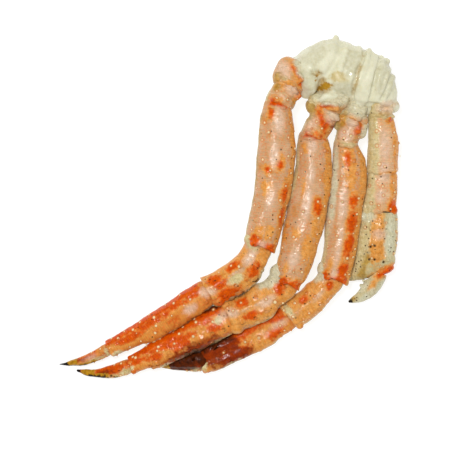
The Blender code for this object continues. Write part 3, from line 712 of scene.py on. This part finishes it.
def spines_and_pores(tree, patterns, colour, dots):
    """Orange round each spine's root, cream on its tip, and dark pores: one in each cell of that
    share of them, and one wherever a pit is painted."""
    spine = add(tree, "Attribute", {}, attribute_name="spine").outputs["Fac"]
    root = add(tree, "MapRange", {"Value": spine, "From Min": 0.12, "From Max": 0.4, "To Max": 0.55},
               interpolation_type="SMOOTHSTEP").outputs[0]
    tip = add(tree, "MapRange", {"Value": spine, "From Min": 0.5, "From Max": 0.68},
              interpolation_type="SMOOTHSTEP").outputs[0]
    cells = add(tree, "TexVoronoi", {"Vector": patterns.place, "Scale": 1 / (DOT_SPACING * MM)})
    chosen = add(tree, "SeparateColor", {"Color": cells.outputs["Color"]}).outputs["Red"]
    chosen = add(tree, "Math", {0: chosen, 1: dots}, operation="LESS_THAN").outputs[0]
    edge = DOT_RADIUS / DOT_SPACING
    near = add(tree, "MapRange", {"Value": cells.outputs["Distance"], "From Min": edge,
                                  "From Max": edge * 0.6}).outputs[0]
    dot = add(tree, "Math", {0: near, 1: chosen}, operation="MULTIPLY").outputs[0]
    pit = add(tree, "Attribute", {}, attribute_name="pit").outputs["Fac"]
    pit = add(tree, "MapRange", {"Value": pit, "From Min": 0.42, "From Max": 0.56}).outputs[0]
    dot = add(tree, "Math", {0: dot, 1: pit}, operation="MAXIMUM").outputs[0]
    for cover, tone in ((root, SPINE_ROOT), (tip, SPINE_TIP), (dot, PORE)):
        colour = add(tree, "Mix", {MIX_FACTOR: cover, MIX_A: colour, MIX_B: linear(tone)},
                     data_type="RGBA").outputs[MIX_RESULT]
    return colour


def fine_relief(tree, patterns, relief):
    """Bumps too fine to model, on the shell and, shallower, on the water that covers it."""
    height = patterns.speck
    for pattern, share in ((patterns.patch, 1.8), (patterns.grain, 0.5), (patterns.wrinkle, 0.8)):
        height = add(tree, "Math", {0: pattern, 1: share, 2: height},
                     operation="MULTIPLY_ADD").outputs[0]
    bumps = {}
    for socket, strength in (("Normal", relief), ("Coat Normal", relief * COAT_BUMP)):
        bumps[socket] = add(tree, "Bump", {"Height": height, "Strength": strength,
                                           "Distance": BUMP_DEPTH}).outputs["Normal"]
    return bumps


def cooked_shell(name, ground, flecked=0.55, dots=0.0, relief=0.4, mottled=0.27):
    """Cooked crab shell: chalky chitin coloured by a red-orange pigment in its outer layer, boiled
    and wet. The eye sees soft blotches, fine speckles, cream spine tips and a broken wet gloss."""
    material, tree, shader = new_material(name)
    patterns = skin_patterns(tree)
    colour = ground_colour(tree, patterns, ground, flecked)
    colour = zone_colours(tree, patterns, colour)
    colour = mottled_colour(tree, patterns, colour, mottled)
    colour = spines_and_pores(tree, patterns, colour, dots)
    gloss = add(tree, "MapRange", {"Value": patterns.patch, "To Min": ROUGHNESS[0],
                                   "To Max": ROUGHNESS[1]}).outputs[0]
    fill_in(shader, WET | {"Base Color": colour, "Roughness": gloss})
    fill_in(shader, fine_relief(tree, patterns, relief))
    return material


# Light and dark tone of each zone, how much of it covers what is below, and half of the mask's
# range over which it comes in.
TONES = {
    "orange": ("#e2a256", "#d3842c", 0.94, 0.3),
    "ember": ("#dc5c02", "#c44200", 1.0, 0.3),
    # dark red-brown: partly the shell's own colour, partly painted shade under leg 2 and in the
    # creases between legs
    "deep": ("#9a3404", "#742404", 0.95, 0.35),
    "cream": ("#d8ca9c", "#c4b078", 0.95, 0.22),
    "pale": ("#d6d3b8", "#c6c09c", 0.9, 0.3),
    # pale pink: partly the shell's own colour, partly a painted highlight on the crowns that face the
    # lamp
    "bloom": ("#e0c6b0", "#d6b090", 0.75, 0.45),
    # yellow-brown: real stains on the shoulder and joints, and painted shade along leg 1's merus
    # inner edge
    "stain": ("#c09a3c", "#9a7020", 0.75, 0.4),
    # painted shade: dark brown for the creases between touching legs and for leg 3's dactylus in leg
    # 2's shadow
    "dusk": ("#5e260a", "#341406", 0.95, 0.35),
    "yellow": ("#c4921f", "#a07010", 0.95, 0.12),
    "horn": ("#2a221c", "#14100c", 1.0, 0.12),
}
# The three tones of each shell's ground, the last of them where the pigment is thick.
FINISHES = {
    "joint_shell": dict(ground=("#d4ae86", "#cc9e62", "#cf8840"), dots=0.08),
    "leg_shell": dict(ground=("#d0aa84", "#ca9762", "#cd863e"), dots=0.3),
    "outer_leg_shell": dict(ground=("#da9244", "#d47626", "#c84a04"), dots=0.12),
    "dark_tipped_claw": dict(ground=("#c26c34", "#b4480c", "#ac3c04"), dots=0.05),
    "arm_shell": dict(ground=("#deb98e", "#d7a872", "#d4944c"), dots=0.3),
    "palm_shell": dict(ground=("#cbc096", "#bca96e", "#c0a260"), flecked=0.12, dots=1.0),
    "shoulder_membrane": dict(ground=("#e2dfc4", "#dad7b8", "#d6d0ac"), flecked=0.0, relief=0.22,
                              mottled=0.07),
}


# ---- modelling -----------------------------------------------------------------------------------
def ring_plan(run):
    """Rings of a shell from near to far: (z, share of the width read there)."""
    near, far = SHELL_ENDS[run.kind]
    rings = [(gap * MM, share) for gap, share in NEAR_ENDS[near]]
    if run.kind == "dactylus":
        return rings + [(share * run.length, 1.0) for share in POINT_SHARES]
    ends = [(run.length - gap * MM, share) for gap, share in FAR_ENDS[far]]
    low, high = rings[-1][0] + RING_GAP, ends[0][0] - RING_GAP
    rings += [(share * run.length, 1.0) for share in BODY_SHARES if low < share * run.length < high]
    return rings + ends


def raise_shell(run):
    """Models a shell standing up: a disc drawn up ring by ring to the rim, then down into it."""
    rings = ring_plan(run)
    first_z, first_share = rings[0]
    half_width, half_thick = run.half_sizes(first_z)
    middle = run.centre(first_z)
    bpy.ops.object.select_all(action="DESELECT")
    bpy.ops.mesh.primitive_circle_add(vertices=RING_SIDES, radius=half_width * first_share,
                                      fill_type="NGON", location=(0, 0, 0))
    shell = bpy.context.object
    shell.name = run.node + "_shell"
    edit(shell)
    bpy.ops.transform.resize(value=(1, half_thick / half_width, 1), center_override=(0, 0, 0))
    bpy.ops.transform.translate(value=middle)
    width, thick = half_width * first_share, half_thick * first_share
    for z, share in rings[1:]:
        half_width, half_thick = run.half_sizes(z)
        place = run.centre(z)
        bpy.ops.mesh.extrude_region_move(TRANSFORM_OT_translate={"value": place - middle})
        grow = (half_width * share / width, half_thick * share / thick, 1)
        bpy.ops.transform.resize(value=grow, center_override=place)
        middle, width, thick = place, half_width * share, half_thick * share
    for index, (z, _) in enumerate(rings):
        slope = run.tilt(z)
        if abs(slope) > LEAST_SLOPE:
            tilt_ring(shell, index, run.centre(z), slope)
    leave_edit()
    finish_with(shell, "SUBSURF", levels=2, render_levels=2)
    return shell


def tilt_ring(shell, index, middle, slope):
    """Tilts one ring about its middle, keeping its width across the shell."""
    choose(shell, lambda vertex: vertex.index // RING_SIDES == index, lambda face: False)
    bpy.ops.object.mode_set(mode="EDIT")
    angle = math.atan(slope)
    bpy.ops.transform.rotate(value=angle, orient_axis="Y", center_override=middle)
    stretch = 1 / math.cos(angle)
    bpy.ops.transform.resize(value=(stretch, 1, stretch), center_override=middle)


def model_spine():
    """One spine, standing on its root: a cone drawn in to a blunt tip."""
    root, height = SPINE_SIZE
    rise, narrowing = SPINE_STEPS[0]
    bpy.ops.object.select_all(action="DESELECT")
    bpy.ops.mesh.primitive_cone_add(vertices=SPINE_SIDES, radius1=root, radius2=root * narrowing,
                                    depth=height * rise, location=(0, 0, 0))
    spine = bpy.context.object
    spine.name = "spine_pattern"
    choose(spine, lambda vertex: vertex.co.z > 0, lambda face: face.normal.z > 0.9)
    bpy.ops.object.mode_set(mode="EDIT")
    bpy.ops.mesh.select_mode(type="FACE")
    for rise, narrowing in SPINE_STEPS[1:]:
        bpy.ops.mesh.extrude_region_move(TRANSFORM_OT_translate={"value": (0, 0, height * rise)})
        bpy.ops.transform.resize(value=(narrowing, narrowing, 1))
    bpy.ops.mesh.select_mode(type="VERT")
    leave_edit()
    return spine


def put_copy(pattern, place):
    """A copy of the pattern with its own mesh, at that place."""
    copy = pattern.copy()
    copy.data = pattern.data.copy()
    copy.matrix_world = place
    bpy.context.scene.collection.objects.link(copy)
    return copy


def spine_places(run, rows, chance):
    """Where a shell's spines stand: (point, way it points, size), in the upright frame."""
    places = []
    for angle, first, last, count, size in rows:
        for index in range(count):
            share = first + (last - first) * index / max(count - 1, 1)
            share += chance.uniform(-SPINE_STRAY[0], SPINE_STRAY[0])
            share = min(max(share, SPINE_ENDS[0]), SPINE_ENDS[1])
            stray = chance.uniform(-SPINE_STRAY[1], SPINE_STRAY[1])
            point, facing = run.surface(share, angle + stray)
            lean = math.radians(SPINE_LEAN)
            way = facing * math.cos(lean) + Vector((0, 0, math.sin(lean)))
            places.append((point, way.normalized(), size * chance.uniform(*SPINE_SCALES)))
    return places


def set_spines(shell, places, pattern):
    """Joins a spine at each place to the shell, and returns where their tips are."""
    spines = []
    for point, way, size in places:
        turn = UP.rotation_difference(way).to_matrix().to_4x4()
        grow = Matrix.Scale(size, 4)
        spines.append(put_copy(pattern, Matrix.Translation(point) @ turn @ grow))
    if spines:
        only(shell, *spines)
        bpy.ops.object.join()
    return [point + way * SPINE_SIZE[1] * TIP_PLACE * size for point, way, size in places]


def add_lump(thing, place, turn, half_sizes):
    """Joins a rounded lump to a piece; turn holds the ways of its three half sizes."""
    bpy.ops.object.select_all(action="DESELECT")
    bpy.ops.mesh.primitive_uv_sphere_add(segments=20, ring_count=12, radius=1.0, location=(0, 0, 0))
    lump = bpy.context.object
    edit(lump)
    bpy.ops.transform.resize(value=[half * MM for half in half_sizes], center_override=(0, 0, 0))
    leave_edit()
    lump.matrix_world = Matrix.Translation(place) @ turn
    only(thing, lump)
    bpy.ops.object.join()


def add_lumps(shell, run):
    """The shell's knobs, lobes and bulging membranes, sunk in its surface."""
    for share, angle, around, out, along in LUMPS.get(run.node, ()):
        point, facing = run.surface(share, angle)
        ways = (UP.cross(facing), facing, UP)
        turn = Matrix(ways).transposed().to_4x4()
        add_lump(shell, point - facing * LUMP_SINK * MM, turn, (around, out + LUMP_SINK, along))


def fuse(thing, voxel, rounds):
    """Makes one skin of all that was joined, and softens it."""
    finish_with(thing, "REMESH", mode="VOXEL", voxel_size=voxel)
    finish_with(thing, "SMOOTH", factor=0.5, iterations=rounds)


def note_shares(shell, run):
    """Keeps, on each point, its share along the shell and its angle round it."""
    points = points_of(shell)
    share = points[:, 2] / run.length
    bent = np.clip(share, 0, 1)
    across = points[:, 0] - run.bow * 4 * bent * (1 - bent)
    write_mask(shell, "share", share)
    angle = np.degrees(np.arctan2(points[:, 1], -across)) % 360
    write_mask(shell, "angle", angle)
    write_mask(shell, "along", points[:, 2] / MM)
    write_mask(shell, "around", (angle + 90) % 360 * math.pi / 180 * run.radius / MM)


def raise_ridges(shell, run, ridges):
    """Lifts folds along lines on the shell: (share and angle at each end, height and width)."""
    points = points_of(shell)
    facings = facings_of(shell)
    share, angle = read_mask(shell, "share"), read_mask(shell, "angle")
    per_degree = run.radius * math.pi / 180
    lift = np.zeros(len(points))
    for share_a, angle_a, share_b, angle_b, height, width in ridges:
        middle = (angle_a + angle_b) / 2
        around = ((angle - middle + 180) % 360 - 180 + middle) * per_degree
        spot = np.stack((share * run.length, around), 1)
        start = np.array((share_a * run.length, angle_a * per_degree))
        way = np.array((share_b * run.length, angle_b * per_degree)) - start
        part = np.clip((spot - start) @ way / max(way @ way, 1e-12), 0, 1)
        gap = np.linalg.norm(spot - start - part[:, None] * way, axis=1)
        lift += height * MM * np.exp(-(gap / (width * MM)) ** 2)
    move_points(shell, points + facings * lift[:, None])


def lay_down(shell, run):
    """Puts a shell that was modelled standing in its place, with the place in its mesh."""
    shell.matrix_world = run.stand
    only(shell)
    bpy.ops.object.transform_apply(location=True, rotation=True, scale=True)


def roughen(thing, *grains):
    """Pushes the surface in and out by a cloudy pattern of each grain and depth, in mm."""
    for grain, depth in grains:
        clouds = bpy.data.textures.new("clouds", "CLOUDS")
        clouds.noise_scale = grain * MM
        clouds.noise_depth = 1
        finish_with(thing, "DISPLACE", texture=clouds, strength=depth * MM, mid_level=0.5,
                    texture_coords="LOCAL", direction="NORMAL")


def set_down(piece):
    """Presses flat what would sink into the table."""
    points = points_of(piece)
    points[:, 2] = np.maximum(points[:, 2], TABLE_GAP)
    move_points(piece, points)


def dress(piece, node, slot):
    """Sets a finished piece down, attaches it to its body, hides its solid, and gives it its slot's
    finish.
    """
    set_down(piece)
    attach(piece, "root")
    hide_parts(node)
    piece.data.materials.append(finishes[slot])
    piece.data.shade_smooth()


def build_limbs(spine):
    shoulder_middle = (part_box("shoulder")[0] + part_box("shoulder")[1]) / 2
    chance = np.random.default_rng(SPINE_SEED)
    for limb, kinds in LIMBS.items():
        hinge = shoulder_middle
        rows_of = SPINE_ROWS | ARM_SPINE_ROWS if limb == "claw_arm" else SPINE_ROWS
        for kind in kinds:
            node = limb + "_" + kind
            run = Run(node, kind, hinge)
            hinge = run.far
            shell = raise_shell(run)
            places = spine_places(run, rows_of[kind], chance)
            tips = set_spines(shell, places, spine)
            add_lumps(shell, run)
            fuse(shell, SKIN_VOXEL, 3)
            note_shares(shell, run)
            raise_ridges(shell, run, RIDGES[kind] + RIDGES.get(node, ()))
            mark_tips(shell, tips)
            lay_down(shell, run)
            press(shell, CRESTS.get(node, ()))
            roughen(shell, *(ROOT_GRAINS if kind in ("coxa", "ischium") else LIMB_GRAINS))
            paint_limb(node, kind, shell, run)
            slot = "arm_shell" if limb == "claw_arm" and kind != "coxa" else SLOTS[kind]
            dress(shell, node, slot)


def mark_tips(piece, tips):
    """Keeps how near each point is to the nearest spine tip: 1 on it, 0 out of its reach."""
    points = points_of(piece)
    near = np.zeros(len(points))
    for tip in tips:
        near = np.maximum(near, 1 - np.linalg.norm(points - np.array(tip), axis=1) / TIP_REACH)
    write_mask(piece, "spine", np.clip(near, 0, 1))


def copy_solid(node, name):
    """A merged copy of a solid's mesh."""
    piece = bpy.data.objects.new(name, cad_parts[node].data.copy())
    bpy.context.scene.collection.objects.link(piece)
    piece.data.materials.clear()
    edit(piece)
    bpy.ops.mesh.remove_doubles(threshold=0.01 * MM)
    bpy.ops.mesh.normals_make_consistent(inside=False)
    leave_edit()
    return piece


# The claw seen from above, in mm: pits and teeth as x and y, tubercles as x, y and size, folds as
# path, height and width, and colour spots by zone as x, y, half length, half width and turn.
PALM_PITS = (
    (149.3, -39.9), (153.7, -38.9), (148.1, -53.2), (153.6, -53.4), (163.3, -56.0), (177.9, -36.0),
)
PALM_TUBERCLES = (
    (151.5, -37.5, 1.0), (176.3, -11.5, 1.1), (150.8, -51.8, 0.8), (166.0, -15.0, 0.7),
    (176.5, -24.0, 0.8), (174.0, -47.0, 0.8), (144.0, -20.0, 0.6), (160.0, -60.0, 0.8),
)
# Lumps that fill the palm out: x, y, turn, half sizes in mm. The first is the hinge's knuckle.
PALM_LUMPS = (
    (165.5, -65, 24, (10, 4, 8)), (167.5, -53, 0, (8, 11, 9)), (143, -8, 0, (5, 5.5, 7)),
    (164, -6.5, 0, (9, 4.5, 14)),
)
PALM_SPOTS = {
    "orange": [(156.4, -30, 29, 9.5, 88), (179.5, -33, 11, 3.5, 90), (157, -48, 9, 8, 0)],
    "bloom": [(158.2, -27.5, 6, 4.5, 0)], "ember": [(168.5, -65.5, 12, 4, 24)],
    "cream": [(138, -40, 30, 8, 75)], "stain": [(142, -66, 16, 3.5, 76)],
    "pale": [(170.5, -28, 24, 6, 88), (146, -8, 8, 6, 0)],
}
FINGER_SPOTS = {
    "orange": [(153, -79, 10, 4, 60)], "pale": [(143, -80, 12, 4, 62), (161, -82, 10, 3.5, 60),
    (143, -94, 14, 3.5, 38)], "ember": [(160, -70, 5, 2.5, 20)], "stain": [(133, -95, 4, 2.5, 30)],
    "horn": [(129, -98.2, 2.6, 2.0, 20)],
}
FINGER_TEETH = ((143.0, -75.5), (140.5, -81.0), (139.5, -87.0))
TOOTH_HALVES = (1.8, 1.8, 2.5)      # half sizes in mm
PIT_SHAPE = (-1.2, 1.3)             # height and width of a pit, in mm
PIT_SPOT = 1.2                      # mm, half size of its dark spot
PALM_FOLDS = (
    (((138, -8), (130, -48)), 3.0, 6.0), (((146, -5), (150, -60)), 0.8, 4.0),
    (((176, -12), (177, -55)), 0.8, 3.0), (((140, -62), (165, -60)), -0.8, 3.0),
    (((145, -3), (172, -6)), -0.7, 2.0),
)
WRINKLE_TURN = (0.97, 0.24)         # cosine and sine


def paint_plan(piece, spots):
    """Paints spots seen from above on a piece that isn't a tube, and keeps each point's place seen
    from above, turned by WRINKLE_TURN, for its wrinkles."""
    points = points_of(piece) / MM
    cos, sin = WRINKLE_TURN
    write_mask(piece, "along", points[:, 0] * cos + points[:, 1] * sin)
    write_mask(piece, "around", points[:, 1] * cos - points[:, 0] * sin)
    skin = Skin(piece)
    skin.paint(skin.spot, spots)
    skin.finish()


def top_of(piece, x, y):
    """Where a line down at x and y in mm meets the piece, and the way its surface faces there."""
    piece.data.update()
    found, point, facing, _ = piece.ray_cast(Vector((x * MM, y * MM, 1.0)), Vector((0, 0, -1)))
    return (point, facing) if found else (None, None)


def set_tubercles(piece, spots, pattern):
    """Joins a tubercle at each x and y to the piece, and returns where their tips are."""
    places = []
    for x, y, size in spots:
        point, facing = top_of(piece, x, y)
        if point:
            places.append((point, (facing + UP * TUBERCLE_LEAN).normalized(), size))
    return set_spines(piece, places, pattern)


def press(piece, paths):
    """Presses grooves and lifts ridges along paths seen from above: (path, height, width) in mm."""
    points = points_of(piece)
    facings = facings_of(piece)
    plan = points[:, :2] / MM
    lift = np.zeros(len(points))
    for path, height, width in paths:
        near = np.full(len(points), 1e9)
        for start, end in zip(path, path[1:]):
            way = np.subtract(end, start)
            part = np.clip((plan - start) @ way / max(way @ way, 1e-9), 0, 1)
            near = np.minimum(near, np.linalg.norm(plan - start - part[:, None] * way, axis=1))
        lift += height * np.exp(-(near / width) ** 2)
    upper = smooth_step(*UPPER_SIDE, facings[:, 2])
    move_points(piece, points + facings * (lift * upper * MM)[:, None])


def build_claw(spine):
    palm = copy_solid("claw_palm", "claw_palm_shell")
    low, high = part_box("claw_palm")
    for x, y, turn, half_sizes in PALM_LUMPS:
        place = Vector((x * MM, y * MM, (low.z + high.z) / 2))
        add_lump(palm, place, Matrix.Rotation(math.radians(turn), 4, "Z"), half_sizes)
    fuse(palm, SKIN_VOXEL, 4)
    tips = set_tubercles(palm, PALM_TUBERCLES, spine)
    fuse(palm, SKIN_VOXEL, 3)
    press(palm, [((pit, pit), *PIT_SHAPE) for pit in PALM_PITS])
    press(palm, PALM_FOLDS)
    finger = copy_solid("claw_finger", "claw_finger_shell")
    middle = sum(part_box("claw_finger"), Vector()).z / 2
    for x, y in FINGER_TEETH:
        add_lump(finger, Vector((x * MM, y * MM, middle)), Matrix(), TOOTH_HALVES)
    fuse(finger, SKIN_VOXEL, 4)
    pits = {"pit": [(x, y, PIT_SPOT, PIT_SPOT, 0) for x, y in PALM_PITS]}
    for piece, node, spots, ends in ((palm, "claw_palm", PALM_SPOTS | pits, tips),
                                     (finger, "claw_finger", FINGER_SPOTS, ())):
        roughen(piece, *CLAW_GRAINS)
        mark_tips(piece, ends)
        paint_plan(piece, spots)
        dress(piece, node, "palm_shell")


# Folds of the shoulder seen from above: path, height and width in mm.
FOLDS = (
    (((147, 182), (144, 172), (142, 162), (140, 154), (135, 143), (131, 129), (129, 117)), -3.4, 2.0),
    (((152, 178), (148, 166), (144, 154), (139, 143), (135, 130)), 1.6, 2.6),
    (((139, 180), (136, 160), (132, 147), (127, 133)), 1.2, 2.6),
    (((165, 170), (160, 160), (157, 150), (154, 140), (151, 125), (148, 112)), -3.0, 1.8),
    (((163, 154), (158, 140), (155, 126)), 0.8, 2.4),
    (((181, 155), (175, 148), (171, 138), (166, 126), (160, 113)), -2.8, 1.8),
    (((118, 172), (115, 160), (110, 148), (102, 138)), -2.8, 3.6),
    (((104, 184), (102, 172)), -0.6, 1.6), (((88, 176), (90, 164)), -0.5, 1.8),
    (((130, 184), (128, 172)), 0.7, 1.8), (((158, 174), (155, 164)), -1.2, 1.6),
    (((172, 164), (169, 155)), 1.0, 1.6),
    (((88, 142), (95, 139), (98, 132), (95, 122), (89, 113)), -6.0, 3.0),
    (((102, 124), (110, 121), (117, 120), (124, 113), (127, 105)), -1.4, 2.6),
    (((129, 116), (131, 108), (127, 100)), -2.0, 2.0), (((146, 108), (157, 107)), -3.0, 2.4),
    (((72, 160), (80, 152), (88, 146)), -1.6, 3.0),
    (((150, 160), (147, 148), (143, 135)), -0.9, 1.4),
    (((168, 148), (162, 134), (158, 120)), -0.9, 1.4),
    (((128, 166), (124, 152), (119, 140)), -1.2, 1.8),
    (((177, 135), (172, 122), (166, 112)), -1.4, 1.8), (((104, 168), (112, 158)), 1.5, 5.0),
    (((80, 155), (100, 150)), 2.5, 7.0), (((84, 136), (88, 124)), 3.5, 5.5),
    (((112, 140), (118, 130)), 2.0, 7.0), (((120, 178), (136, 172), (150, 168)), 1.6, 1.6),
    (((162, 110), (174, 108)), 2.0, 3.0),
)
SHOULDER_SPOTS = {
    "stain": [(94, 139, 4, 3, 0), (97, 133, 4, 3, 60), (100, 125, 8, 5, 0), (126, 107, 3, 4, 0),
    (133, 132, 8, 0.5, 75), (130, 176, 5, 1.6, -10), (179, 111, 4, 2, 0)],
    "yellow": [(101, 126.5, 7.5, 3.5, 15), (93, 137, 3.5, 1.5, 80)],
    "bloom": [(168, 108, 9, 4, 10)], "pale": [(118, 124, 14, 7, 0), (165, 136, 20, 14, 70),
    (128, 152, 16, 8, 75), (84, 134, 14, 8, -60), (92, 160, 16, 9, 35)],
    "cream": [(115, 136, 9, 6, 0)],
}
# Lumps at the shoulder's edges, torn flaps above and lobes that come down over the coxae below: x,
# y, level as a share of its height, three half sizes in mm, and turn.
SHOULDER_LUMPS = (
    (113, 178.5, 0.6, 3.5, 4, 4, 20), (160, 157, 0.5, 3.5, 4.5, 4, 0),
    (166, 154, 0.55, 3.5, 4, 4, 30), (81, 131, 0.5, 12, 17, 12, 24), (112, 112, 0.45, 15, 9, 10, 0),
    (146, 106, 0.45, 13, 9, 9, 0), (107, 118, 0.7, 15, 7.5, 9, 12), (136, 109, 0.6, 10, 6, 8.5, 0),
    (172, 108, 0.45, 8, 7, 8, 0), (98, 116, 0.3, 8, 8, 7, 0),
)


def build_shoulder():
    shoulder = copy_solid("shoulder", "shoulder_flesh")
    low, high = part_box("shoulder")
    for x, y, level, *half_sizes, turn in SHOULDER_LUMPS:
        place = Vector((x * MM, y * MM, low.z + (high.z - low.z) * level))
        add_lump(shoulder, place, Matrix.Rotation(math.radians(turn), 4, "Z"), half_sizes)
    fuse(shoulder, FLESH_VOXEL, 14)
    roughen(shoulder, FLESH_SWELL)
    press(shoulder, FOLDS)
    fuse(shoulder, FLESH_VOXEL, 2)
    roughen(shoulder, *FLESH_GRAINS)
    mark_tips(shoulder, ())
    paint_plan(shoulder, SHOULDER_SPOTS)
    dress(shoulder, "shoulder", "shoulder_membrane")


finishes = {slot: cooked_shell(slot, **looks) for slot, looks in FINISHES.items()}
spine = model_spine()
build_limbs(spine)
build_claw(spine)
build_shoulder()
bpy.data.objects.remove(spine)


# ---- floor, light and camera ---------------------------------------------------------------------
FILL_LIGHT = 0.66           # the bright room all round
MIRRORED_LIGHT = 0.04       # what a wet shell mirrors of it
FLOOR_SIZE = 6.0
LAMP_PLACE, LAMP_SIZE, LAMP_POWER = Vector((-0.25, 0.3, 1.8)), 0.25, 16
CAMERA_PLACE, CAMERA_LENS, SENSOR = (0.002, -0.0224, 2.44), 180, 36
WHITE = (1, 1, 1, 1)


def white_table():
    """A matt white table top that glows, so that it stays white and shadows on it are faint."""
    material, _, shader = new_material("white_table_top")
    fill_in(shader, {"Base Color": (0.3, 0.3, 0.3, 1), "Roughness": 0.9, "Emission Color": WHITE,
                     "Emission Strength": 0.8})
    return material


def build_stage():
    bpy.ops.object.select_all(action="DESELECT")
    bpy.ops.mesh.primitive_plane_add(size=FLOOR_SIZE, location=(0, 0, 0))
    floor = bpy.context.object
    floor.name = "floor"
    floor.data.materials.append(white_table())

    light = bpy.data.lights.new("softbox", "AREA")
    light.shape = "SQUARE"
    light.size = LAMP_SIZE
    light.energy = LAMP_POWER
    lamp = bpy.data.objects.new("softbox", light)
    lamp.location = LAMP_PLACE
    lamp.rotation_euler = (-LAMP_PLACE).to_track_quat("-Z", "Y").to_euler()
    bpy.context.scene.collection.objects.link(lamp)

    world = bpy.data.worlds.new("studio")
    world.use_nodes = True
    tree = world.node_tree
    mirrored = add(tree, "LightPath", {}).outputs["Is Glossy Ray"]
    strength = add(tree, "MapRange", {"Value": mirrored, "To Min": FILL_LIGHT,
                                      "To Max": MIRRORED_LIGHT}).outputs[0]
    fill_in(tree.nodes["Background"], {"Color": WHITE, "Strength": strength})
    bpy.context.scene.world = world

    lens = bpy.data.cameras.new("camera")
    lens.lens = CAMERA_LENS
    lens.sensor_width = SENSOR
    camera = bpy.data.objects.new("camera", lens)
    camera.location = CAMERA_PLACE
    bpy.context.scene.collection.objects.link(camera)
    bpy.context.scene.camera = camera
    bpy.context.scene.view_settings.view_transform = "Standard"


build_stage()
